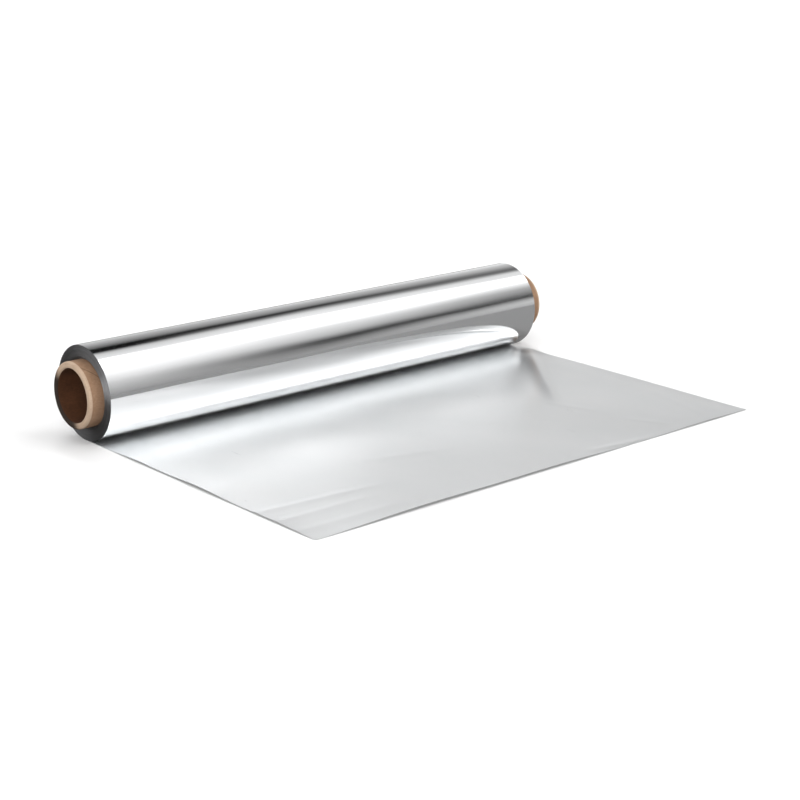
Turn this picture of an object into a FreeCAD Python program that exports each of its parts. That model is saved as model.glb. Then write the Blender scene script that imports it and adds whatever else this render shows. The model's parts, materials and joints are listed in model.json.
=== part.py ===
import FreeCAD, Part
import Sketcher
import math
import os

# A roll of kitchen aluminium foil that lies on a table with a length of foil pulled out.
# X runs along the roll and +Z is up. The pulled sheet runs towards -Y.
# The origin is on the table, under the roll's axis and midway along the foil.

document = FreeCAD.newDocument("aluminium_foil_roll")

# Driving sizes, in millimetres
# "Across" is along X from the strip's middle. "Along" is the pulled length from under the axis.
DRIVING_SIZES = (
    ("foil_width", 300.0, "width of the strip, which is the length of the wound part"),
    ("wound_thickness", 7.45, "all the wound turns together, from the tube outwards"),
    ("flat_spot_width", 5.0, "where the wound turns settle on the table"),
    ("core_bore", 28.0, "inside diameter of the cardboard tube"),
    ("core_wall", 3.5, "thickness of the cardboard tube"),
    ("core_rim_round", 0.4, "rounding of the tube's cut ends"),
    ("core_clearance", 0.05, "radial gap between the tube and the first turn"),
    ("near_core_overhang", 7.5, "how far the tube stands out of the near end, at -X"),
    ("far_core_overhang", 12.5, "how far the tube stands out of the far end, at +X"),
    ("sheet_length", 186.0, "along the pulled sheet, from under the axis to the cut edge"),
    ("sheet_thickness", 0.25, "thickness of the pulled sheet"),
    ("flat_root", 12.0, "length of sheet that lies dead flat where it leaves the roll"),
    ("settle_length", 40.0, "length over which the sheet's waves grow to full height"),
    ("wave_height", 0.35, "half height of the long waves"),
    ("wave_spacing_across", 105.0, "distance between the long waves across the strip"),
    ("wave_spacing_along", 175.0, "distance between the long waves along the sheet"),
    ("wave_crest_across", 9.0, "where one of the long waves crests, across the strip"),
    ("front_lift", 1.1, "how far the cut edge rises off the table"),
    ("front_lift_across", -50.0, "middle of that rise, across the strip"),
    ("front_lift_spread", 60.0, "half width of that rise"),
    ("ripple_height", 0.6, "height of the ripples in the near side edge, at -X"),
    ("ripple_spacing", 58.0, "distance between those ripples along the edge"),
    ("ripple_reach", 18.0, "how far they fade inwards from the edge"),
    ("fold_height", 1.0, "height of the soft fold by the roll's far end"),
    ("fold_spread", 11.0, "half width of that fold"),
    ("fold_start_across", 136.0, "start of the fold, across the strip"),
    ("fold_start_along", 38.0, "start of the fold, along the sheet"),
    ("fold_end_across", 76.0, "end of the fold, across the strip"),
    ("fold_end_along", 112.0, "end of the fold, along the sheet"),
)

sizes = document.addObject("Spreadsheet::Sheet", "Sizes")
for row, (alias, value, meaning) in enumerate(DRIVING_SIZES, start=1):
    sizes.set(f"A{row}", alias)
    sizes.set(f"B{row}", str(value))
    sizes.setAlias(f"B{row}", alias)
    sizes.set(f"C{row}", meaning)
document.recompute()

# What follows from the driving sizes, as formulas for the document
# The flat spot lowers the axis, so that the flat lies on the table
CORE_RADIUS = "(Sizes.core_bore / 2 + Sizes.core_wall)"
HOLE_RADIUS = f"({CORE_RADIUS} + Sizes.core_clearance)"
ROLL_RADIUS = f"({HOLE_RADIUS} + Sizes.wound_thickness)"
AXIS_HEIGHT = f"sqrt({ROLL_RADIUS}^2 - (Sizes.flat_spot_width / 2)^2)"
CORE_LENGTH = "Sizes.near_core_overhang + Sizes.foil_width + Sizes.far_core_overhang"

# The same as numbers, with which the sketches are first drawn
core_radius = sizes.core_bore / 2 + sizes.core_wall
hole_radius = core_radius + sizes.core_clearance
roll_radius = hole_radius + sizes.wound_thickness
axis_height = math.sqrt(roll_radius**2 - (sizes.flat_spot_width / 2) ** 2)

# The pulled sheet is one smooth surface over a net of poles, none of them under the table
NET_CELLS_ACROSS = 36
NET_CELLS_ALONG = 22
SMOOTH_DEGREE = 3

# The front edge rises only near its end: its height goes with this power of the way to it
FRONT_LIFT_POWER = 4

# The fold grows over the first of these shares of its run and dies away over the second
FOLD_GROWS = 0.25
FOLD_DIES = 0.55


def section_sketch(body, name):
    """A sketch across the roll: its x is the body's Y and its y is the body's Z."""
    sketch = body.newObject("Sketcher::SketchObject", name)
    plane = [feature for feature in body.Origin.OriginFeatures if feature.Role == "YZ_Plane"][0]
    sketch.AttachmentSupport = [(plane, "")]
    sketch.MapMode = "FlatFace"
    return sketch


def bind(sketch, constraint, formula):
    index = sketch.addConstraint(constraint)
    sketch.setExpression(f"Constraints[{index}]", formula)


def axis_circle(radius):
    return Part.Circle(FreeCAD.Vector(0, 0, 0), FreeCAD.Vector(0, 0, 1), radius)


def draw_circle(sketch, radius, formula):
    """A whole circle about the roll's axis."""
    circle = sketch.addGeometry(axis_circle(radius), False)
    sketch.addConstraint(Sketcher.Constraint("Coincident", circle, 3, -1, 1))
    bind(sketch, Sketcher.Constraint("Radius", circle, radius), formula)


def add_pad(body, sketch, name, length_formula):
    feature = body.newObject("PartDesign::Pad", name)
    feature.Profile = sketch
    feature.setExpression("Length", length_formula)
    return feature


def make_cardboard_core():
    """Spiral-wound tube, cut square and lightly rounded at its rims."""
    body = document.addObject("PartDesign::Body", "cardboard_core")
    body.Label = "cardboard_core"
    section = section_sketch(body, "core_section")
    draw_circle(section, core_radius, CORE_RADIUS)
    draw_circle(section, sizes.core_bore / 2, "Sizes.core_bore / 2")
    tube = add_pad(body, section, "core_tube", CORE_LENGTH)
    document.recompute()
    rims = [
        f"Edge{number}"
        for number, edge in enumerate(tube.Shape.Edges, start=1)
        if isinstance(edge.Curve, Part.Circle)
    ]
    rounding = body.newObject("PartDesign::Fillet", "core_rims")
    rounding.Base = (tube, rims)
    rounding.setExpression("Radius", "min(Sizes.core_rim_round; Sizes.core_wall / 3)")
    body.setExpression("Placement.Base.x", "-Sizes.foil_width / 2 - Sizes.near_core_overhang")
    body.setExpression("Placement.Base.z", AXIS_HEIGHT)
    return body


def draw_turns(sketch):
    """The outside of the wound turns, with the flat spot below, and the hole for the tube."""
    half_flat = sizes.flat_spot_width / 2
    flat_angle = math.atan2(-axis_height, half_flat)
    arc = Part.ArcOfCircle(axis_circle(roll_radius), flat_angle, math.pi - flat_angle)
    left = FreeCAD.Vector(-half_flat, -axis_height, 0)
    right = FreeCAD.Vector(half_flat, -axis_height, 0)
    outside = sketch.addGeometry(arc, False)
    spot = sketch.addGeometry(Part.LineSegment(left, right), False)
    sketch.addConstraint(Sketcher.Constraint("Coincident", outside, 3, -1, 1))
    sketch.addConstraint(Sketcher.Constraint("Coincident", spot, 1, outside, 2))
    sketch.addConstraint(Sketcher.Constraint("Coincident", spot, 2, outside, 1))
    sketch.addConstraint(Sketcher.Constraint("Horizontal", spot))
    bind(sketch, Sketcher.Constraint("Radius", outside, roll_radius), ROLL_RADIUS)
    width = Sketcher.Constraint("DistanceX", spot, 1, spot, 2, sizes.flat_spot_width)
    bind(sketch, width, "Sizes.flat_spot_width")
    draw_circle(sketch, hole_radius, HOLE_RADIUS)


def draw_sheet_root(sketch):
    """The flat start of the sheet, from under the axis to the front."""
    top_level = sizes.sheet_thickness - axis_height
    corners = (
        FreeCAD.Vector(-sizes.flat_root, -axis_height, 0),
        FreeCAD.Vector(0, -axis_height, 0),
        FreeCAD.Vector(0, top_level, 0),
        FreeCAD.Vector(-sizes.flat_root, top_level, 0),
    )
    sides = [
        sketch.addGeometry(Part.LineSegment(start, end), False)
        for start, end in zip(corners, corners[1:] + corners[:1])
    ]
    bottom, inner, top, front = sides
    for side, following in zip(sides, sides[1:] + sides[:1]):
        sketch.addConstraint(Sketcher.Constraint("Coincident", side, 2, following, 1))
    for level in (bottom, top):
        sketch.addConstraint(Sketcher.Constraint("Horizontal", level))
    for upright in (inner, front):
        sketch.addConstraint(Sketcher.Constraint("Vertical", upright))
    sketch.addConstraint(Sketcher.Constraint("PointOnObject", bottom, 2, -2))
    depth = Sketcher.Constraint("DistanceY", bottom, 2, -1, 1, axis_height)
    bind(sketch, depth, AXIS_HEIGHT)
    reach = Sketcher.Constraint("DistanceX", bottom, 1, bottom, 2, sizes.flat_root)
    bind(sketch, reach, "Sizes.flat_root")
    thickness = Sketcher.Constraint("DistanceY", inner, 1, inner, 2, sizes.sheet_thickness)
    bind(sketch, thickness, "Sizes.sheet_thickness")


def make_wound_turns():
    """All the wound turns as one solid, with the first flat stretch of the sheet."""
    body = document.addObject("PartDesign::Body", "wound_turns")
    turns_section = section_sketch(body, "turns_section")
    draw_turns(turns_section)
    add_pad(body, turns_section, "turns", "Sizes.foil_width")
    root_section = section_sketch(body, "root_section")
    draw_sheet_root(root_section)
    add_pad(body, root_section, "sheet_root", "Sizes.foil_width")
    body.setExpression("Placement.Base.x", "-Sizes.foil_width / 2")
    body.setExpression("Placement.Base.z", AXIS_HEIGHT)
    return body


def smooth_step(share):
    """Goes smoothly from 0 to 1 as the share does."""
    share = min(max(share, 0.0), 1.0)
    return share * share * (3.0 - 2.0 * share)


def bell(distance, spread):
    return math.exp(-((distance / spread) ** 2))


def crests(distance, spacing):
    """A row of crests one spacing apart, from -1 to 1, with one at distance 0."""
    return math.cos(2.0 * math.pi * distance / spacing)


def fold_rise(across, along):
    """The soft ridge that runs slantwise from the roll's far end."""
    run_across = sizes.fold_end_across - sizes.fold_start_across
    run_along = sizes.fold_end_along - sizes.fold_start_along
    run = math.hypot(run_across, run_along)
    from_across = across - sizes.fold_start_across
    from_along = along - sizes.fold_start_along
    share = (from_across * run_across + from_along * run_along) / run**2
    aside = (from_across * run_along - from_along * run_across) / run
    strength = smooth_step(1.0 + share / FOLD_GROWS) * smooth_step((1.0 - share) / FOLD_DIES)
    return sizes.fold_height * strength * bell(aside, sizes.fold_spread)


def sheet_rise(across, along):
    """Height of the sheet's underside over the table."""
    wave = crests(across - sizes.wave_crest_across, sizes.wave_spacing_across)
    wave *= crests(along, sizes.wave_spacing_along)
    front = (along / sizes.sheet_length) ** FRONT_LIFT_POWER
    front *= bell(across - sizes.front_lift_across, sizes.front_lift_spread)
    ripple = 0.5 - 0.5 * crests(along - sizes.flat_root, sizes.ripple_spacing)
    ripple *= math.exp(-(across + sizes.foil_width / 2) / sizes.ripple_reach)
    rise = sizes.wave_height * (1.0 + wave) + sizes.front_lift * front
    rise += sizes.ripple_height * ripple + fold_rise(across, along)
    return rise * smooth_step((along - sizes.flat_root) / sizes.settle_length)


def even_knots(poles):
    """Knots and their repeats for a clamped smooth curve with this many poles."""
    spans = poles - SMOOTH_DEGREE
    knots = [span / spans for span in range(spans + 1)]
    repeats = [SMOOTH_DEGREE + 1] + [1] * (spans - 1) + [SMOOTH_DEGREE + 1]
    return knots, repeats


def make_pulled_sheet():
    """The pulled length beyond the flat root, as one gently waved sheet."""
    waved_length = sizes.sheet_length - sizes.flat_root
    net = []
    for i in range(NET_CELLS_ACROSS + 1):
        across = sizes.foil_width * (i / NET_CELLS_ACROSS - 0.5)
        line = []
        for j in range(NET_CELLS_ALONG + 1):
            along = sizes.flat_root + waved_length * j / NET_CELLS_ALONG
            line.append(FreeCAD.Vector(across, -along, sheet_rise(across, along)))
        net.append(line)
    knots_across, repeats_across = even_knots(len(net))
    knots_along, repeats_along = even_knots(len(net[0]))
    underside = Part.BSplineSurface()
    underside.buildFromPolesMultsKnots(
        net, repeats_across, repeats_along, knots_across, knots_along,
        False, False, SMOOTH_DEGREE, SMOOTH_DEGREE,
    )
    sheet = document.addObject("Part::Feature", "pulled_sheet")
    sheet.Shape = underside.toShape().extrude(FreeCAD.Vector(0, 0, sizes.sheet_thickness))
    sheet.Placement = FreeCAD.Placement()
    return sheet


def make_foil():
    """The whole strip: wound turns and pulled sheet are one piece of foil."""
    foil = document.addObject("Part::Fuse", "foil")
    foil.Label = "foil"
    foil.Base = make_wound_turns()
    foil.Tool = make_pulled_sheet()
    return foil


pieces = (make_cardboard_core(), make_foil())
document.recompute()

for item in document.Objects:
    if "Invalid" in item.State or "Error" in item.State:
        raise RuntimeError(f"{item.Label} didn't build")
for piece in pieces:
    if piece.Shape.isNull() or not piece.Shape.isValid() or len(piece.Shape.Solids) != 1:
        raise RuntimeError(f"{piece.Label} isn't one sound solid")

os.makedirs("parts", exist_ok=True)
for piece in pieces:
    piece.Shape.exportStep(f"parts/{piece.Label}.step")
    print(piece.Label, f"{piece.Shape.Volume:.1f} mm3", piece.Shape.optimalBoundingBox())
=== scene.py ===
import json
import math

import bpy
import numpy as np
from mathutils import Matrix, Vector


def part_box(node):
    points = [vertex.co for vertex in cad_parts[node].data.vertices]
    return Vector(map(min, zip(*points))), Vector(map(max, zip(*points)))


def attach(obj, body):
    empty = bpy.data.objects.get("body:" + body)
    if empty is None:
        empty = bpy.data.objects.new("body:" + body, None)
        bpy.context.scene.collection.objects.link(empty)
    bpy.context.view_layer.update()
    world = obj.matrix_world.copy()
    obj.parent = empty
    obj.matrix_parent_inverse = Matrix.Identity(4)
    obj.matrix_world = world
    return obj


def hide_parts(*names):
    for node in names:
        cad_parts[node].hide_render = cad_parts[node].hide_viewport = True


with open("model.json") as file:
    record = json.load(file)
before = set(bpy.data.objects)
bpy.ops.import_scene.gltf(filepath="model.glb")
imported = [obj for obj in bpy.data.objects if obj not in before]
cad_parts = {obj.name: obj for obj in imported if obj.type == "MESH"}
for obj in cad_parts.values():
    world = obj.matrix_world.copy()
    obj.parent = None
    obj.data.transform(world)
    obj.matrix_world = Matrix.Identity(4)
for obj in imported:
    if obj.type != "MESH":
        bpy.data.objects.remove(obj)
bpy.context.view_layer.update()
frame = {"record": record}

scene = bpy.context.scene


# The cardboard core is a tube wound in a spiral from strips of kraft paper, glued ply on ply.
# It is cut square, which leaves a slightly soft rim with the edges of the plies showing.

MM = 0.001
FULL_TURN = 2 * math.pi
spindle = next(mount for mount in frame["record"]["mounts"] if mount["name"] == "spindle_bore")
AXIS_HEIGHT = spindle["pos_m"][2]
BORE_RADIUS = spindle["dims"]["r_mm"] * MM
core_low, core_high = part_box("cardboard_core")
CORE_WALL = 3.5 * MM
PLY_THICKNESS = 0.5 * MM
ARC_POINTS = 6
CROWDING = 0.94
RIM_FACE = 0.02 * MM
BORE_SKIN = 0.1 * MM

OUTER_PLY_COLOURS = ((0.22, 0.125, 0.072), (0.35, 0.22, 0.14))
CUT_RIM_COLOURS = ((0.36, 0.257, 0.18), (0.53, 0.395, 0.292))
# The bore is the same kraft board as outside; its far darker colours are painted shade inside the tube.
BORE_PLY_SHADED_COLOURS = ((0.042, 0.015, 0.006), (0.094, 0.036, 0.014))
BOARD_TONES = (0.3, 0.72)
FIBRE_GRAINS = (700, 1900, 1900)
FIBRE_WEIGHT = 0.62
FIBRE_RELIEF = 0.12 * MM
BLOTCH_GRAINS = (90, 150, 150)
BLOTCH_WEIGHT = 0.45
SEAM_STRENGTH = 0.8
SEAM_SHADE = 0.35
# Painted shade: a near-black colour laid over one side of the cut rim, where that side of the rim lies in
# shade.
RIM_SHADE_COLOUR = (0.014, 0.008, 0.006)
RIM_SHADE_AMOUNT = 0.97
RIM_SHADE_GRAINS = (260, 260, 260)
RIM_SHADE_WANDER = 3 * MM
RIM_SHADE_LEAN = 0.7
RIM_SHADE_FROM = 3.0 * MM
RIM_SHADE_TO = 12.5 * MM


def add_node(tree, kind, inputs=(), **settings):
    """Adds a node and sets it up, with its inputs linked or filled by name or number."""
    node = tree.nodes.new(kind)
    for name, value in settings.items():
        setattr(node, name, value)
    for name, value in dict(inputs).items():
        if isinstance(name, int):
            socket = node.inputs[name]
        else:
            socket = next(one for one in node.inputs if one.enabled and one.name == name)
        if isinstance(value, bpy.types.NodeSocket):
            tree.links.new(value, socket)
        else:
            socket.default_value = value
    return node


def calculate(tree, operation, *values):
    return add_node(tree, "ShaderNodeMath", enumerate(values), operation=operation).outputs[0]


def step_between(tree, value, low, high, smooth=False):
    """Goes from 0 to 1 as the value goes from low to high."""
    kind = "SMOOTHSTEP" if smooth else "LINEAR"
    inputs = {"Value": value, "From Min": low, "From Max": high}
    return add_node(tree, "ShaderNodeMapRange", inputs, interpolation_type=kind).outputs[0]


def blend_colours(tree, share, first, second):
    """Goes from the first colour to the second as the share goes from 0 to 1."""
    inputs = {"Factor": share, "A": first, "B": second}
    node = add_node(tree, "ShaderNodeMix", inputs, data_type="RGBA")
    return next(one for one in node.outputs if one.enabled)


def mix_tones(tree, share, tones):
    """Goes from the first to the second of two opaque tones as the share goes from 0 to 1."""
    first, second = tones
    return blend_colours(tree, share, (*first, 1), (*second, 1))


def start_material(name, constants):
    """A new material with its tree and its shader, with the constants written on the shader."""
    material = bpy.data.materials.new(name)
    material.use_nodes = True
    tree = material.node_tree
    shader = tree.nodes["Principled BSDF"]
    for word, value in constants.items():
        shader.inputs[word].default_value = value
    return material, tree, shader


def stretched_noise(tree, scale, detail, roughness=0.5):
    """Noise on the piece's own coordinates, with a number of grains per metre for each axis."""
    place = add_node(tree, "ShaderNodeTexCoord").outputs["Object"]
    stretched = add_node(tree, "ShaderNodeMapping", {"Vector": place, "Scale": scale}).outputs[0]
    inputs = {"Vector": stretched, "Scale": 1.0, "Detail": detail, "Roughness": roughness}
    return add_node(tree, "ShaderNodeTexNoise", inputs).outputs[0]


def raise_surface(tree, shader, height, distance):
    bump = add_node(tree, "ShaderNodeBump", {"Height": height, "Distance": distance, "Strength": 1.0})
    tree.links.new(bump.outputs[0], shader.inputs["Normal"])


def painted_rim_shade_share(tree, amount):
    """How dark the painted shade is: it darkens one side of the rim, with an uneven border."""
    place = add_node(tree, "ShaderNodeTexCoord").outputs["Object"]
    _, sideways, upwards = add_node(tree, "ShaderNodeSeparateXYZ", {0: place}).outputs
    over_axis = calculate(tree, "SUBTRACT", upwards, AXIS_HEIGHT)
    aside = calculate(tree, "MULTIPLY_ADD", over_axis, -RIM_SHADE_LEAN, sideways)
    uneven = calculate(tree, "MULTIPLY_ADD", stretched_noise(tree, RIM_SHADE_GRAINS, 4), RIM_SHADE_WANDER, aside)
    covered = step_between(tree, uneven, RIM_SHADE_FROM, RIM_SHADE_TO, smooth=True)
    return calculate(tree, "MULTIPLY", covered, amount)


def make_board(name, dark, light, seam_strength, rim_shade=0.0):
    """Kraft paper: short fibres in two tones, blotches, and a dark line where two plies meet."""
    board, tree, shader = start_material(name, {"Roughness": 0.86, "Specular IOR Level": 0.25})
    fibres = stretched_noise(tree, FIBRE_GRAINS, 6, 0.65)
    blotches = stretched_noise(tree, BLOTCH_GRAINS, 3)
    fibre_part = calculate(tree, "MULTIPLY", fibres, FIBRE_WEIGHT)
    tone = calculate(tree, "MULTIPLY_ADD", blotches, BLOTCH_WEIGHT, fibre_part)
    colour = mix_tones(tree, step_between(tree, tone, *BOARD_TONES), (dark, light))
    seam = add_node(tree, "ShaderNodeAttribute", attribute_name="seam").outputs["Fac"]
    shadow = calculate(tree, "MULTIPLY", seam, seam_strength)
    colour = blend_colours(tree, shadow, colour, (*(SEAM_SHADE * part for part in dark), 1))
    # Painted shade over one side of the rim, when asked for.
    if rim_shade:
        colour = blend_colours(tree, painted_rim_shade_share(tree, rim_shade), colour, (*RIM_SHADE_COLOUR, 1))
    tree.links.new(colour, shader.inputs["Base Color"])
    raise_surface(tree, shader, fibres, FIBRE_RELIEF)
    return board


def new_shape_tree(name, sizes):
    """A geometry tree with one named input for each size, and the sockets that hold them."""
    kinds = {float: "NodeSocketFloat", int: "NodeSocketInt", bpy.types.Material: "NodeSocketMaterial"}
    tree = bpy.data.node_groups.new(name, "GeometryNodeTree")
    for word, value in sizes.items():
        tree.interface.new_socket(word, in_out="INPUT", socket_type=kinds[type(value)])
    tree.interface.new_socket("Geometry", in_out="OUTPUT", socket_type="NodeSocketGeometry")
    return tree, add_node(tree, "NodeGroupInput").outputs


def grow_piece(name, tree, sizes):
    """Runs a geometry tree once with the sizes, and keeps its result as a plain mesh."""
    piece = bpy.data.objects.new(name, bpy.data.meshes.new(name))
    scene.collection.objects.link(piece)
    modifier = piece.modifiers.new("shape", "NODES")
    modifier.node_group = tree
    for item in tree.interface.items_tree:
        if item.in_out == "INPUT":
            modifier[item.identifier] = sizes[item.name]
    grown = piece.evaluated_get(bpy.context.evaluated_depsgraph_get())
    piece.data = bpy.data.meshes.new_from_object(grown)
    piece.modifiers.remove(modifier)
    return piece


def store(tree, geometry, name, value, kind="FLOAT", domain="POINT"):
    """Writes a value under a name on the geometry, for read_stored and for materials."""
    inputs = {"Geometry": geometry, "Name": name, "Value": value}
    node = add_node(tree, "GeometryNodeStoreNamedAttribute", inputs, data_type=kind, domain=domain)
    return node.outputs[0]


def read_stored(tree, name, kind="FLOAT"):
    return add_node(tree, "GeometryNodeInputNamedAttribute", {"Name": name}, data_type=kind).outputs[0]


def crowded_share(tree, share, crowds):
    """Moves evenly spaced shares towards the evenly spaced places where fine detail sits."""
    wave = calculate(tree, "SINE", calculate(tree, "MULTIPLY", share, FULL_TURN * crowds))
    return calculate(tree, "MULTIPLY_ADD", wave, -CROWDING / (FULL_TURN * crowds), share)


def make_tube_tree(sizes):
    """The wall's section is turned round the axis, and twisted so that the seam runs in a spiral."""
    tree, size = new_shape_tree("tube_shape", sizes)
    length = calculate(tree, "SUBTRACT", size["Far end"], size["Near end"])
    wall = calculate(tree, "SUBTRACT", size["Outer radius"], size["Bore radius"])
    middle_x = calculate(tree, "MULTIPLY_ADD", length, 0.5, size["Near end"])
    middle_radius = calculate(tree, "MULTIPLY_ADD", wall, 0.5, size["Bore radius"])

    section = add_node(tree, "GeometryNodeCurvePrimitiveQuadrilateral", {"Width": length, "Height": wall})
    rounding = {"Curve": section.outputs[0], "Radius": size["Rim round"], "Count": ARC_POINTS}
    section = add_node(tree, "GeometryNodeFilletCurve", rounding, mode="POLY")
    index = add_node(tree, "GeometryNodeInputIndex").outputs[0]
    outline_share = crowded_share(tree, calculate(tree, "DIVIDE", index, size["Stations"]), 2)
    sampled = {"Curves": section.outputs[0], "Factor": outline_share}
    sampled = add_node(tree, "GeometryNodeSampleCurve", sampled, mode="FACTOR").outputs["Position"]
    outline = add_node(tree, "GeometryNodeCurvePrimitiveCircle", {"Resolution": size["Stations"]})
    outline = store(tree, outline.outputs[0], "wall_place", sampled, "FLOAT_VECTOR")
    round_share = crowded_share(tree, calculate(tree, "DIVIDE", index, size["Sides"]), 1)
    ring = add_node(tree, "GeometryNodeCurvePrimitiveCircle", {"Resolution": size["Sides"]})
    ring = store(tree, ring.outputs[0], "round_share", round_share)
    tube = add_node(tree, "GeometryNodeCurveToMesh", {"Curve": ring, "Profile Curve": outline}).outputs[0]

    place = read_stored(tree, "wall_place", "FLOAT_VECTOR")
    from_middle, in_wall, _ = add_node(tree, "ShaderNodeSeparateXYZ", {0: place}).outputs
    share = read_stored(tree, "round_share")
    outward = calculate(tree, "SIGN", in_wall)
    radius = calculate(tree, "ADD", in_wall, middle_radius)
    seam_away = calculate(tree, "MINIMUM", share, calculate(tree, "SUBTRACT", 1.0, share))
    seam_away = calculate(tree, "MULTIPLY", calculate(tree, "MULTIPLY", seam_away, FULL_TURN), radius)
    seam = step_between(tree, seam_away, size["Seam half width"], 0.0, smooth=True)
    notch = calculate(tree, "MULTIPLY", calculate(tree, "MULTIPLY", seam, size["Seam depth"]), outward)
    radius_cut = calculate(tree, "SUBTRACT", radius, notch)
    twist = calculate(tree, "MULTIPLY", calculate(tree, "DIVIDE", from_middle, length), size["Ply turns"])
    angle = calculate(tree, "MULTIPLY", calculate(tree, "ADD", share, twist), FULL_TURN)

    half_length = calculate(tree, "MULTIPLY", length, 0.5)
    from_end = calculate(tree, "SUBTRACT", half_length, calculate(tree, "ABSOLUTE", from_middle))
    on_rim = calculate(tree, "LESS_THAN", from_end, RIM_FACE)
    by_rim = calculate(tree, "LESS_THAN", from_end, size["Rim band"])
    ply = calculate(tree, "DIVIDE", calculate(tree, "SUBTRACT", radius, size["Bore radius"]), size["Ply"])
    dip = calculate(tree, "COSINE", calculate(tree, "MULTIPLY", ply, FULL_TURN))
    dip = calculate(tree, "MULTIPLY", calculate(tree, "ADD", dip, 1.0), size["Ply relief"])
    dip = calculate(tree, "MULTIPLY", dip, on_rim)
    dip = calculate(tree, "MULTIPLY", dip, calculate(tree, "SIGN", from_middle))
    along = calculate(tree, "SUBTRACT", calculate(tree, "ADD", from_middle, middle_x), dip)
    sideways = calculate(tree, "MULTIPLY", radius_cut, calculate(tree, "COSINE", angle))
    sine = calculate(tree, "SINE", angle)
    upwards = calculate(tree, "MULTIPLY_ADD", radius_cut, sine, size["Axis height"])
    final = add_node(tree, "ShaderNodeCombineXYZ", {0: along, 1: sideways, 2: upwards}).outputs[0]
    in_bore = calculate(tree, "LESS_THAN", radius, calculate(tree, "ADD", size["Bore radius"], BORE_SKIN))
    for name, value in (("seam", seam), ("rim", by_rim), ("bore", in_bore)):
        tube = store(tree, tube, name, value)
    tube = add_node(tree, "GeometryNodeSetPosition", {"Geometry": tube, "Position": final}).outputs[0]
    tube = add_node(tree, "GeometryNodeSetShadeSmooth", {0: tube}).outputs[0]
    tube = add_node(tree, "GeometryNodeRealizeInstances", {0: tube}).outputs[0]
    inputs = {"Geometry": tube, "Material": size["Outer ply"]}
    tube = add_node(tree, "GeometryNodeSetMaterial", inputs).outputs[0]
    for finish, mark in (("Cut rim", "rim"), ("Bore ply", "bore")):
        chosen = calculate(tree, "GREATER_THAN", read_stored(tree, mark), 0.5)
        inputs = {"Geometry": tube, "Material": size[finish], "Selection": chosen}
        tube = add_node(tree, "GeometryNodeSetMaterial", inputs).outputs[0]
    add_node(tree, "NodeGroupOutput", {0: tube})
    return tree


tube_sizes = {
    "Near end": core_low[0],
    "Far end": core_high[0],
    "Axis height": AXIS_HEIGHT,
    "Outer radius": BORE_RADIUS + CORE_WALL,
    "Bore radius": BORE_RADIUS,
    "Rim round": 1.3 * MM,
    "Rim band": 1.7 * MM,
    "Ply": PLY_THICKNESS,
    "Ply relief": 0.03 * MM,
    "Ply turns": 3.4,
    "Seam half width": 0.5 * MM,
    "Seam depth": 0.1 * MM,
    "Stations": 440,
    "Sides": 112,
    "Outer ply": make_board("outer_kraft_ply", *OUTER_PLY_COLOURS, SEAM_STRENGTH),
    "Cut rim": make_board("cut_kraft_rim", *CUT_RIM_COLOURS, 0.0, rim_shade=RIM_SHADE_AMOUNT),
    "Bore ply": make_board("bore_kraft_ply_painted_shade", *BORE_PLY_SHADED_COLOURS, SEAM_STRENGTH),
}
core = grow_piece("cardboard_tube", make_tube_tree(tube_sizes), tube_sizes)
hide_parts("cardboard_core")
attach(core, "root")


# The foil is one strip of aluminium, rolled thin and wound tight, bright side out. The length that is
# pulled out is the same strip: it leaves the bottom turn and lies satin side up on the table.

foil_low, foil_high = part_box("foil")
ROLL_RADIUS = 25.0 * MM
STRIP_THICKNESS = 0.12 * MM
FOIL_LEFT = foil_low[0]
FOIL_WIDTH = foil_high[0] - foil_low[0]
SHEET_LENGTH = -foil_low[1]
CORE_CLEARANCE = 0.05 * MM
HOLE_RADIUS = BORE_RADIUS + CORE_WALL + CORE_CLEARANCE
FLAT_HALF = math.sqrt(ROLL_RADIUS**2 - AXIS_HEIGHT**2)
STATIONS_ACROSS = 200
ROLL_STEPS = 116
SHEET_STEPS = 122
END_RINGS = 20
END_SEED = 7
END_RELIEF = 0.05 * MM
END_WELL = 1.4 * MM
WELL_STARTS = 0.8
SHARP_ANGLE = math.radians(40)
BRIGHT, SATIN, EDGES = range(3)

# The sheet's soft waves, as in the solid
WAVE_HEIGHT = 0.35 * MM
WAVE_ACROSS = 105 * MM
WAVE_ALONG = 175 * MM
WAVE_CREST = 9 * MM
FLAT_ROOT = 12 * MM
SETTLE = 40 * MM
FRONT_LIFT = 1.1 * MM
FRONT_LIFT_PLACE = -50 * MM
FRONT_LIFT_SPREAD = 60 * MM
FRONT_LIFT_POWER = 4
RIPPLE_HEIGHT = 0.6 * MM
RIPPLE_SPACING = 58 * MM
RIPPLE_REACH = 18 * MM

# The long fold from the roll's far end, from and to a place across and along
FOLD_START = (136 * MM, 38 * MM)
FOLD_END = (74 * MM, 118 * MM)
FOLD_HEIGHT = 1.2 * MM
FOLD_SOFT_SIDE = 11 * MM
FOLD_CRISP_SIDE = 3 * MM
FOLD_GROWS = 0.25
FOLD_DIES = 0.45
# Painted shade on the fold: its soft side is darkened in the foil's colour.
FOLD_SHADE_ASIDE = 3.0 * MM
FOLD_SHADE_SPREAD = 4.4 * MM
FOLD_SHADE_EDGE = 1.6 * MM
FOLD_SHADE_COLOUR = (0.54, 0.555, 0.57)

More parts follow.
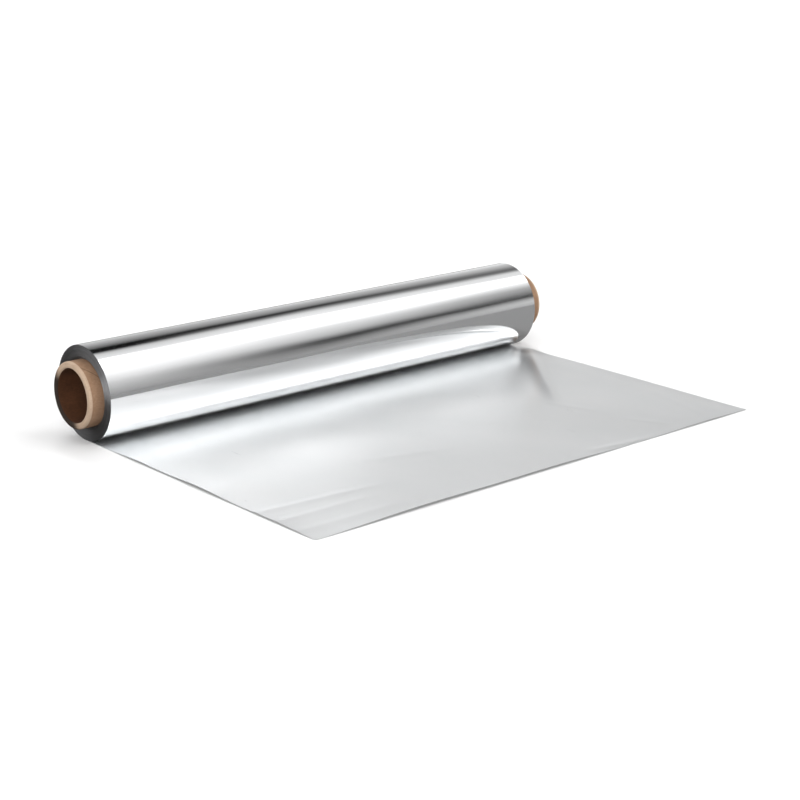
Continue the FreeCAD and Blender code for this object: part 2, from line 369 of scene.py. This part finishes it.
# Fine creases in millimetres, each from one place to another (across, along), its height and half width
CREASES = (
    ((-150, 143), (-84, 150), 0.30, 2.6),
    ((-150, 158), (-96, 160), 0.22, 2.4),
    ((-149, 173), (-88, 177), 0.26, 3.0),
    ((77, 110), (87, 138), 0.16, 2.2),
    ((136, 137), (124, 179), 0.18, 2.4),
    ((88, 157), (98, 178), 0.14, 2.0),
    ((36, 180), (80, 185), 0.20, 2.2),
    ((-60, 120), (-20, 131), 0.10, 3.2),
    ((10, 96), (34, 118), 0.10, 2.8),
)
CREASE_GROWS = 0.2
CREASE_ENDS = 1.2
CREASE_DIES = 0.6

# The far side edge lifts a little near the roll, and the near corner of the cut edge is nipped off
EDGE_LIFT_HEIGHT = 0.9 * MM
EDGE_LIFT_PLACE = 22 * MM
EDGE_LIFT_SPREAD = 9 * MM
EDGE_LIFT_REACH = 10 * MM
CORNER_CUT = 1.2 * MM
CORNER_REACH = 1.5 * MM

# Faint flats round the roll, as (how many in a turn, depth)
FLATS = ((11, 0.020 * MM), (17, 0.010 * MM), (29, 0.004 * MM))
FLATS_WANDER = 70 * MM
FLATS_SWAY = 1.3
FLATS_FADE = 0.06

BRIGHT_TONES = ((0.88, 0.89, 0.90), (0.93, 0.93, 0.935))
BRIGHT_ROUGHNESS = (0.045, 0.10)
BRIGHT_RELIEF = 0.003 * MM
SATIN_TONES = ((0.86, 0.88, 0.885), (0.92, 0.925, 0.93))
SATIN_ROUGHNESS = (0.26, 0.31)
SATIN_RELIEF = 0.002 * MM
# The dark tone is painted shade between the turns; the light tone is the edges' own grey.
CUT_EDGE_TONES_AND_SHADE = ((0.06, 0.06, 0.065), (0.42, 0.42, 0.425))
CUT_EDGE_RELIEF = 0.08 * MM
CUT_EDGE_GRAINS = 5200.0


def smooth_step(share):
    share = np.clip(share, 0.0, 1.0)
    return share * share * (3 - 2 * share)


def bell(distance, spread):
    return np.exp(-((distance / spread) ** 2))


def beside_line(across, along, start, end):
    """How far along a line each place is, as a share of it, and how far to its side."""
    run = math.dist(start, end)
    run_across = (end[0] - start[0]) / run
    run_along = (end[1] - start[1]) / run
    from_across = across - start[0]
    from_along = along - start[1]
    share = (from_across * run_across + from_along * run_along) / run
    return share, from_across * run_along - from_along * run_across


def fold_place(across, along):
    """How strong the fold is at each place, and how far to its side the place lies."""
    share, aside = beside_line(across, along, FOLD_START, FOLD_END)
    return smooth_step(1 + share / FOLD_GROWS) * smooth_step((1 - share) / FOLD_DIES), aside


def fold_rise(across, along):
    strength, aside = fold_place(across, along)
    spread = np.where(aside > 0, FOLD_CRISP_SIDE, FOLD_SOFT_SIDE)
    return FOLD_HEIGHT * strength * bell(aside, spread)


def fold_painted_shade(across, along):
    """Painted shade on the fold: a darker band on its soft side, sharp along the crest."""
    strength, aside = fold_place(across, along)
    return strength * bell(aside + FOLD_SHADE_ASIDE, FOLD_SHADE_SPREAD) * smooth_step(0.5 - aside / FOLD_SHADE_EDGE)


def crease_rise(across, along):
    rise = 0
    for start, end, height, width in CREASES:
        start = (start[0] * MM, start[1] * MM)
        end = (end[0] * MM, end[1] * MM)
        share, aside = beside_line(across, along, start, end)
        strength = smooth_step(1.0 + share / CREASE_GROWS) * smooth_step((CREASE_ENDS - share) / CREASE_DIES)
        rise = rise + height * MM * strength * bell(aside, width * MM)
    return rise


def sheet_rise(across, along):
    """Height of the sheet's underside over the table."""
    wave = np.cos(FULL_TURN * (across - WAVE_CREST) / WAVE_ACROSS) * np.cos(FULL_TURN * along / WAVE_ALONG)
    front = (along / SHEET_LENGTH) ** FRONT_LIFT_POWER * bell(across - FRONT_LIFT_PLACE, FRONT_LIFT_SPREAD)
    ripple = 0.5 - 0.5 * np.cos(FULL_TURN * (along - FLAT_ROOT) / RIPPLE_SPACING)
    ripple *= np.exp(-(across - FOIL_LEFT) / RIPPLE_REACH)
    rise = WAVE_HEIGHT * (1 + wave) + FRONT_LIFT * front + RIPPLE_HEIGHT * ripple + fold_rise(across, along)
    rise = (rise + crease_rise(across, along)) * smooth_step((along - FLAT_ROOT) / SETTLE)
    from_far_edge = FOIL_LEFT + FOIL_WIDTH - across
    lip = bell(along - EDGE_LIFT_PLACE, EDGE_LIFT_SPREAD) * bell(from_far_edge, EDGE_LIFT_REACH)
    return rise + EDGE_LIFT_HEIGHT * lip


def turn_dent(across, angle, fade):
    """How far the outer turn lies in from a true circle, in flats that wander along the roll."""
    dent = 0
    for number, (count, depth) in enumerate(FLATS):
        slow = np.sin(across / FLATS_WANDER + 2 * number)
        quick = np.sin((3 + number) * across / FLATS_WANDER)
        sway = FLATS_SWAY * (slow + 0.5 * quick)
        dent = dent + depth * (1 + np.sin(count * angle + sway + number))
    return dent * fade


def strip_outline():
    """The strip's section at each station across: up the back, over, down, out and back below."""
    across = (FOIL_LEFT + FOIL_WIDTH * np.linspace(0, 1, STATIONS_ACROSS + 1))[:, None]
    notch_drop = AXIS_HEIGHT - STRIP_THICKNESS
    notch_out = math.sqrt(ROLL_RADIUS**2 - notch_drop**2)
    first = math.asin(FLAT_HALF / ROLL_RADIUS)
    last = FULL_TURN - math.asin(notch_out / ROLL_RADIUS)
    share = np.linspace(0, 1, ROLL_STEPS + 1)[None, :]
    angle = first + (last - first) * share
    fade = smooth_step(share / FLATS_FADE) * smooth_step((1 - share) / FLATS_FADE)
    radius = ROLL_RADIUS - turn_dent(across, angle, fade)
    roll_y = radius * np.sin(angle)
    roll_z = AXIS_HEIGHT - radius * np.cos(angle)

    cut = CORNER_CUT * np.exp(-(across - FOIL_LEFT) / CORNER_REACH)
    share = np.linspace(0, 1, SHEET_STEPS + 1)[None, :]
    along = notch_out + (SHEET_LENGTH - cut - notch_out) * share
    under = sheet_rise(across, along)
    flats = np.broadcast_to(np.array([[-FLAT_HALF, 0.0]]), (len(across), 2))
    y = np.hstack([roll_y, -along[:, 1:], -along[:, ::-1], flats])
    z = np.hstack([roll_z, under[:, 1:] + STRIP_THICKNESS, under[:, ::-1], 0 * flats])
    return np.broadcast_to(across, y.shape), y, z


def roll_end(rim, side, inward):
    """One end of the wound turns: rings from the outer turn down to the hole, each a little in or out."""
    place_y = rim[:, 1]
    place_z = rim[:, 2] - AXIS_HEIGHT
    to_hole = HOLE_RADIUS / np.hypot(place_y, place_z) - 1
    random = np.random.default_rng(END_SEED + side)
    rings = []
    for number in range(1, END_RINGS + 1):
        share = number / END_RINGS
        scale = 1 + to_hole * share
        ring = np.column_stack([rim[:, 0], place_y * scale, AXIS_HEIGHT + place_z * scale])
        well = END_WELL * smooth_step((share - WELL_STARTS) / (1 - WELL_STARTS))
        ring[:, 0] += inward * (END_RELIEF * random.random() + well)
        rings.append(ring)
    return rings


def make_strip_mesh():
    """All of the strip's points and faces, with the finish and the map place of each face."""
    across, y, z = strip_outline()
    stations, loop = y.shape
    points = np.stack([across, y, z], axis=2)
    number = np.arange(stations * loop).reshape(stations, loop)
    top_end = ROLL_STEPS + SHEET_STEPS
    faces, finishes, uvs = [], [], []
    steps = np.hypot(np.diff(y, axis=1), np.diff(z, axis=1)).mean(axis=0)
    length_at = np.concatenate([[0], np.cumsum(steps), [steps.sum() + 2 * FLAT_HALF]])
    for j in range(stations - 1):
        left, right = across[j, 0], across[j + 1, 0]
        for k in range(loop):
            after = (k + 1) % loop
            faces.append((number[j, k], number[j + 1, k], number[j + 1, after], number[j, after]))
            finishes.append(SATIN if ROLL_STEPS <= k < top_end else BRIGHT)
            low, high = length_at[k], length_at[k + 1]
            uvs += [(left, low), (right, low), (right, high), (left, high)]

    # Round the roll's end: the outer turn, then the sheet's root below and the flat spot's two points
    root_below = loop - 3
    turn = list(range(ROLL_STEPS + 1)) + list(range(root_below, loop))
    vertices = [points.reshape(-1, 3)]
    count = stations * loop
    holes = []
    for side, inward in ((0, 1), (stations - 1, -1)):
        before = number[side, turn]
        for depth, ring in enumerate(roll_end(points[side, turn], side, inward)):
            here = np.arange(count, count + len(turn))
            vertices.append(ring)
            count += len(turn)
            for k in range(len(turn)):
                after = (k + 1) % len(turn)
                faces.append((before[k], before[after], here[after], here[k]))
                finishes.append(EDGES)
                uvs += [(-depth, k), (-depth, k + 1), (-depth - 1, k + 1), (-depth - 1, k)]
            before = here
        holes.append(before)
        for k in range(ROLL_STEPS, top_end):
            below = root_below - (k - ROLL_STEPS)
            faces.append(tuple(number[side, [k, k + 1, below - 1, below]]))
            finishes.append(BRIGHT)
            uvs += [(0, k), (0, k + 1), (1, k + 1), (1, k)]
    near, far = holes
    for k in range(len(turn)):
        after = (k + 1) % len(turn)
        faces.append((near[k], near[after], far[after], far[k]))
        finishes.append(EDGES)
        uvs += [(0, k), (0, k + 1), (1, k + 1), (1, k)]
    return np.vstack(vertices), faces, finishes, uvs


def build_strip():
    vertices, faces, finishes, uvs = make_strip_mesh()
    mesh = bpy.data.meshes.new("foil_strip")
    mesh.from_pydata(vertices.tolist(), [], [tuple(map(int, face)) for face in faces])
    mesh.polygons.foreach_set("material_index", finishes)
    mesh.polygons.foreach_set("use_smooth", [finish != EDGES for finish in finishes])
    layer = mesh.uv_layers.new(name="strip")
    layer.data.foreach_set("uv", np.array(uvs, dtype=float).ravel())
    fold_shade = mesh.attributes.new("fold_shade", "FLOAT", "POINT")
    fold_shade.data.foreach_set("value", fold_painted_shade(vertices[:, 0], -vertices[:, 1]))
    mesh.set_sharp_from_angle(angle=SHARP_ANGLE)
    return mesh


def follow_rolling_lines(tree, shader):
    """Rolling lines run along the strip, and the cut edges run round the roll: light spreads across both."""
    tangent = add_node(tree, "ShaderNodeTangent", direction_type="UV_MAP", uv_map="strip").outputs[0]
    tree.links.new(tangent, shader.inputs["Tangent"])


def finish_side(tree, shader, lines, roughness, relief):
    """Fine lines vary the roughness between two values and stand up a little."""
    smooth, rough = roughness
    inputs = {"Value": lines, "To Min": smooth, "To Max": rough}
    tree.links.new(add_node(tree, "ShaderNodeMapRange", inputs).outputs[0], shader.inputs["Roughness"])
    raise_surface(tree, shader, lines, relief)
    follow_rolling_lines(tree, shader)


def make_bright_side():
    metal, tree, shader = start_material("bright_side", {"Metallic": 1.0, "Anisotropic": 0.45})
    blotches = stretched_noise(tree, (60, 60, 60), 3)
    tree.links.new(mix_tones(tree, blotches, BRIGHT_TONES), shader.inputs["Base Color"])
    lines = stretched_noise(tree, (45, 900, 900), 4, 0.6)
    finish_side(tree, shader, lines, BRIGHT_ROUGHNESS, BRIGHT_RELIEF)
    return metal


def make_satin_side():
    metal, tree, shader = start_material("satin_side", {"Metallic": 1.0, "Anisotropic": 0.35})
    blotches = stretched_noise(tree, (38, 30, 30), 4)
    colour = mix_tones(tree, blotches, SATIN_TONES)
    # Painted shade darkens the fold's soft side.
    fold_shade = add_node(tree, "ShaderNodeAttribute", attribute_name="fold_shade").outputs["Fac"]
    colour = blend_colours(tree, fold_shade, colour, (*FOLD_SHADE_COLOUR, 1))
    tree.links.new(colour, shader.inputs["Base Color"])
    lines = stretched_noise(tree, (1100, 35, 35), 5, 0.6)
    finish_side(tree, shader, lines, SATIN_ROUGHNESS, SATIN_RELIEF)
    return metal


def make_wound_edges():
    """Hundreds of cut edges side by side, with painted shade where one turn stands in from the next."""
    constants = {"Metallic": 1.0, "Anisotropic": 0.93, "Roughness": 0.6}
    metal, tree, shader = start_material("wound_edges", constants)
    place = add_node(tree, "ShaderNodeTexCoord").outputs["Object"]
    centre = {0: place, 1: (0, 0, -AXIS_HEIGHT)}
    centred = add_node(tree, "ShaderNodeVectorMath", centre, operation="ADD").outputs[0]
    no_length = {0: centred, 1: (0, 1, 1)}
    flat = add_node(tree, "ShaderNodeVectorMath", no_length, operation="MULTIPLY").outputs[0]
    radius = add_node(tree, "ShaderNodeVectorMath", {0: flat}, operation="LENGTH").outputs["Value"]
    inputs = {"W": radius, "Scale": CUT_EDGE_GRAINS, "Detail": 4.0}
    turns = add_node(tree, "ShaderNodeTexNoise", inputs, noise_dimensions="1D").outputs[0]
    # Painted shade: the tone darkens where the turns' relief is low.
    tone = step_between(tree, turns, 0.3, 0.75)
    tree.links.new(mix_tones(tree, tone, CUT_EDGE_TONES_AND_SHADE), shader.inputs["Base Color"])
    raise_surface(tree, shader, turns, CUT_EDGE_RELIEF)
    follow_rolling_lines(tree, shader)
    return metal


strip = bpy.data.objects.new("foil_strip", build_strip())
scene.collection.objects.link(strip)
wound_edges = make_wound_edges()
for finish in (make_bright_side(), make_satin_side(), wound_edges):
    strip.data.materials.append(finish)
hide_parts("foil")
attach(strip, "root")


# The turns' cut edges show at both ends of the roll as one tight spiral of foil. Each turn stands a
# little in or out, because the strip wandered sideways as it was wound.

def make_turn_edge_tree(sizes):
    """A thin ridge follows a spiral, rises and sinks along it, and is set on both ends of the roll."""
    tree, size = new_shape_tree("turn_edge_shape", sizes)
    inputs = {
        "Resolution": size["Points a turn"],
        "Rotations": size["Turns shown"],
        "Start Radius": size["Inner radius"],
        "End Radius": size["Outer radius"],
        "Height": 0.0,
    }
    spiral = add_node(tree, "GeometryNodeCurveSpiral", inputs).outputs[0]
    length = add_node(tree, "GeometryNodeSplineParameter").outputs["Length"]
    spiral = store(tree, spiral, "length", length)
    inputs = {"W": calculate(tree, "ADD", length, size["Seed"]), "Scale": size["Wanders"], "Detail": 3.0}
    wander = add_node(tree, "ShaderNodeTexNoise", inputs, noise_dimensions="1D").outputs[0]
    wander = calculate(tree, "MULTIPLY", calculate(tree, "SUBTRACT", wander, 0.5), size["Wander"])
    wander = add_node(tree, "ShaderNodeCombineXYZ", {2: wander}).outputs[0]
    spiral = add_node(tree, "GeometryNodeSetPosition", {"Geometry": spiral, "Offset": wander}).outputs[0]
    spiral = add_node(tree, "GeometryNodeSetCurveNormal", {"Curve": spiral}, mode="Z_UP").outputs[0]
    section = {"Width": size["Edge depth"], "Height": size["Edge thickness"]}
    section = add_node(tree, "GeometryNodeCurvePrimitiveQuadrilateral", section).outputs[0]
    inputs = {"Curve": spiral, "Profile Curve": section, "Fill Caps": True}
    ridge = add_node(tree, "GeometryNodeCurveToMesh", inputs).outputs[0]
    ridge = add_node(tree, "GeometryNodeSetShadeSmooth", {0: ridge, "Shade Smooth": False}).outputs[0]
    place = add_node(tree, "GeometryNodeInputPosition").outputs[0]
    radius = add_node(tree, "ShaderNodeVectorMath", {0: place}, operation="LENGTH").outputs["Value"]
    flat_place = {0: radius, 1: read_stored(tree, "length")}
    flat_place = add_node(tree, "ShaderNodeCombineXYZ", flat_place).outputs[0]
    ridge = store(tree, ridge, "strip", flat_place, "FLOAT2", "CORNER")

    ends = []
    for end in ("Near end", "Far end"):
        place = {0: size[end], 2: size["Axis height"]}
        ends.append(add_node(tree, "ShaderNodeCombineXYZ", place).outputs[0])
    inputs = {"Count": 2, "Start Location": ends[0], "Offset": ends[1]}
    both = add_node(tree, "GeometryNodeMeshLine", inputs, mode="END_POINTS").outputs[0]
    inputs = {"Points": both, "Instance": ridge, "Rotation": (0.0, math.pi / 2, 0.0)}
    turned = add_node(tree, "GeometryNodeInstanceOnPoints", inputs).outputs[0]
    real = add_node(tree, "GeometryNodeRealizeInstances", {0: turned}).outputs[0]
    finished = add_node(tree, "GeometryNodeSetMaterial", {"Geometry": real, "Material": size["Finish"]})
    add_node(tree, "NodeGroupOutput", {0: finished.outputs[0]})
    return tree


edge_sizes = {
    "Near end": FOIL_LEFT,
    "Far end": FOIL_LEFT + FOIL_WIDTH,
    "Axis height": AXIS_HEIGHT,
    "Inner radius": HOLE_RADIUS + 1.6 * MM,
    "Outer radius": ROLL_RADIUS - 0.3 * MM,
    "Turns shown": 24.0,
    "Points a turn": 96,
    "Edge thickness": 0.14 * MM,
    "Edge depth": 0.34 * MM,
    "Wanders": 12.0,
    "Wander": 0.5 * MM,
    "Seed": 3.0,
    "Finish": wound_edges,
}
turn_edges = grow_piece("turn_edges", make_turn_edge_tree(edge_sizes), edge_sizes)
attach(turn_edges, "root")


# The studio is a plain white table under soft boxes that run parallel to the roll. The table and the
# backdrop are white to the camera only: the foil mirrors a darker table, and the boxes and gaps over it.

FLOOR_HALF = 4.0
FLOOR_WHITE = 0.9
BACKDROP_WHITE = 0.97
FLOOR_MIRRORED = 0.24
SOFTBOX = 2.7
BACK_ANGLE = 180

# Light from round the roll, as angle and brightness: 0 is the front, 90 overhead and 180 the back.
# Each strip holds at one sideways direction, from -1 at the near end to 1 at the far end.
LEFT_BANDS = ((0, 5.4), (36, 5.4), (48, 1.0), (180, 1.0))
CENTRE_BANDS = ((0, 0.4), (40, 0.55), (65, 0.75), (95, 0.75), (130, 0.45), (180, 0.5))
MIDDLE_BANDS = (
    (0, 6.4), (36, 6.4), (48, 3.0), (68, 1.3), (104, 1.3), (120, 8.8), (136, 8.8), (148, 7.4), (180, 7.4),
)
# The next three go from the front up: pale wall, soft box, ceiling, dark gap and pale wall behind.
# Towards the far end the foot of the front wall has a dark gap too.
NEAR_BANDS = (
    (0, 0.3), (30, 0.65), (62, 1.4),
    (70, SOFTBOX), (89, SOFTBOX),
    (94, 0.9), (107, 0.65),
    (116, 0.0), (128, 0.0),
    (139, 0.22), (180, 0.7),
)
HALFWAY_BANDS = (
    (0, 0.34), (14, 0.15), (19, 0.05), (24, 0.05), (36, 0.52), (56, 0.9), (64, 1.4),
    (70, SOFTBOX), (91, SOFTBOX),
    (98, 1.0), (110, 0.8),
    (121, 0.2), (127, 0.04), (131, 0.06),
    (139, 0.26), (180, 0.8),
)
FAR_BANDS = (
    (0, 0.45), (8, 0.55), (15, 0.4), (24, 0.05), (30, 0.07), (50, 0.42), (66, 1.1),
    (72, SOFTBOX), (87, SOFTBOX),
    (94, 0.84), (106, 0.8),
    (118, 0.2), (124, 0.14),
    (140, 0.44), (180, 0.95),
)
RIGHT_BANDS = ((0, 7.2), (36, 7.2), (48, 0.35), (132, 0.35), (142, 0.6), (180, 0.6))
STRIPS = (
    (-0.55, LEFT_BANDS),
    (-0.22, CENTRE_BANDS),
    (0.19, CENTRE_BANDS),
    (0.32, MIDDLE_BANDS),
    (0.47, NEAR_BANDS),
    (0.52, NEAR_BANDS),
    (0.61, HALFWAY_BANDS),
    (0.695, FAR_BANDS),
    (0.715, FAR_BANDS),
    (0.85, RIGHT_BANDS),
)


def grey(shade):
    return (shade, shade, shade, 1)


def band_ramp(tree, bands, angle_share):
    ramp = add_node(tree, "ShaderNodeValToRGB", {0: angle_share})
    stops = ramp.color_ramp.elements
    for place, _ in bands[1:-1]:
        stops.new(place / BACK_ANGLE)
    for stop, (_, brightness) in zip(stops, bands):
        stop.color = grey(brightness)
    return ramp.outputs[0]


def make_studio_light():
    world = bpy.data.worlds.new("studio_light")
    world.use_nodes = True
    tree = world.node_tree
    tree.nodes.clear()
    direction = add_node(tree, "ShaderNodeTexCoord").outputs["Generated"]
    sideways, deep, high = add_node(tree, "ShaderNodeSeparateXYZ", {0: direction}).outputs
    front = calculate(tree, "MULTIPLY", deep, -1.0)
    angle_share = calculate(tree, "DIVIDE", calculate(tree, "ARCTAN2", high, front), math.pi)
    place, bands = STRIPS[0]
    light = band_ramp(tree, bands, angle_share)
    for next_place, bands in STRIPS[1:]:
        share = step_between(tree, sideways, place, next_place)
        light = blend_colours(tree, share, light, band_ramp(tree, bands, angle_share))
        place = next_place
    light = add_node(tree, "ShaderNodeBackground", {0: light})
    backdrop = add_node(tree, "ShaderNodeBackground", {0: grey(BACKDROP_WHITE)})
    seen = add_node(tree, "ShaderNodeLightPath").outputs["Is Camera Ray"]
    shown = add_node(tree, "ShaderNodeMixShader", {0: seen, 1: light.outputs[0], 2: backdrop.outputs[0]})
    add_node(tree, "ShaderNodeOutputWorld", {0: shown.outputs[0]})
    scene.world = world


def make_floor():
    mesh = bpy.data.meshes.new("floor")
    corners = ((-1, -1), (1, -1), (1, 1), (-1, 1))
    mesh.from_pydata([(FLOOR_HALF * x, FLOOR_HALF * y, 0.0) for x, y in corners], [], [(0, 1, 2, 3)])
    floor = bpy.data.objects.new("floor", mesh)
    scene.collection.objects.link(floor)
    table, tree, shader = start_material("white_table", {"Roughness": 0.9, "Specular IOR Level": 0.0})
    seen = add_node(tree, "ShaderNodeLightPath").outputs["Is Camera Ray"]
    colour = blend_colours(tree, seen, grey(FLOOR_MIRRORED), grey(FLOOR_WHITE))
    tree.links.new(colour, shader.inputs["Base Color"])
    mesh.materials.append(table)


make_floor()
make_studio_light()
scene.view_settings.view_transform = "Standard"


# The camera looks along the roll from the left and a little down, as far off as the perspective says.

CAMERA_PLACE = Vector((-0.5994, -0.7467, 0.2796))
CAMERA_HEADING = math.radians(41.61)
CAMERA_DIP = math.radians(16.71)
CAMERA_ROLL = math.radians(0.37)
CAMERA_LENS = 79.5
CAMERA_SENSOR = 36.0

camera_data = bpy.data.cameras.new("studio_camera")
camera_data.sensor_width = CAMERA_SENSOR
camera_data.lens = CAMERA_LENS
camera = bpy.data.objects.new("studio_camera", camera_data)
scene.collection.objects.link(camera)
turn = Matrix.Rotation(-CAMERA_HEADING, 4, "Z")
tilt = Matrix.Rotation(math.pi / 2 - CAMERA_DIP, 4, "X")
roll = Matrix.Rotation(CAMERA_ROLL, 4, "Z")
camera.matrix_world = Matrix.Translation(CAMERA_PLACE) @ turn @ tilt @ roll
scene.camera = camera
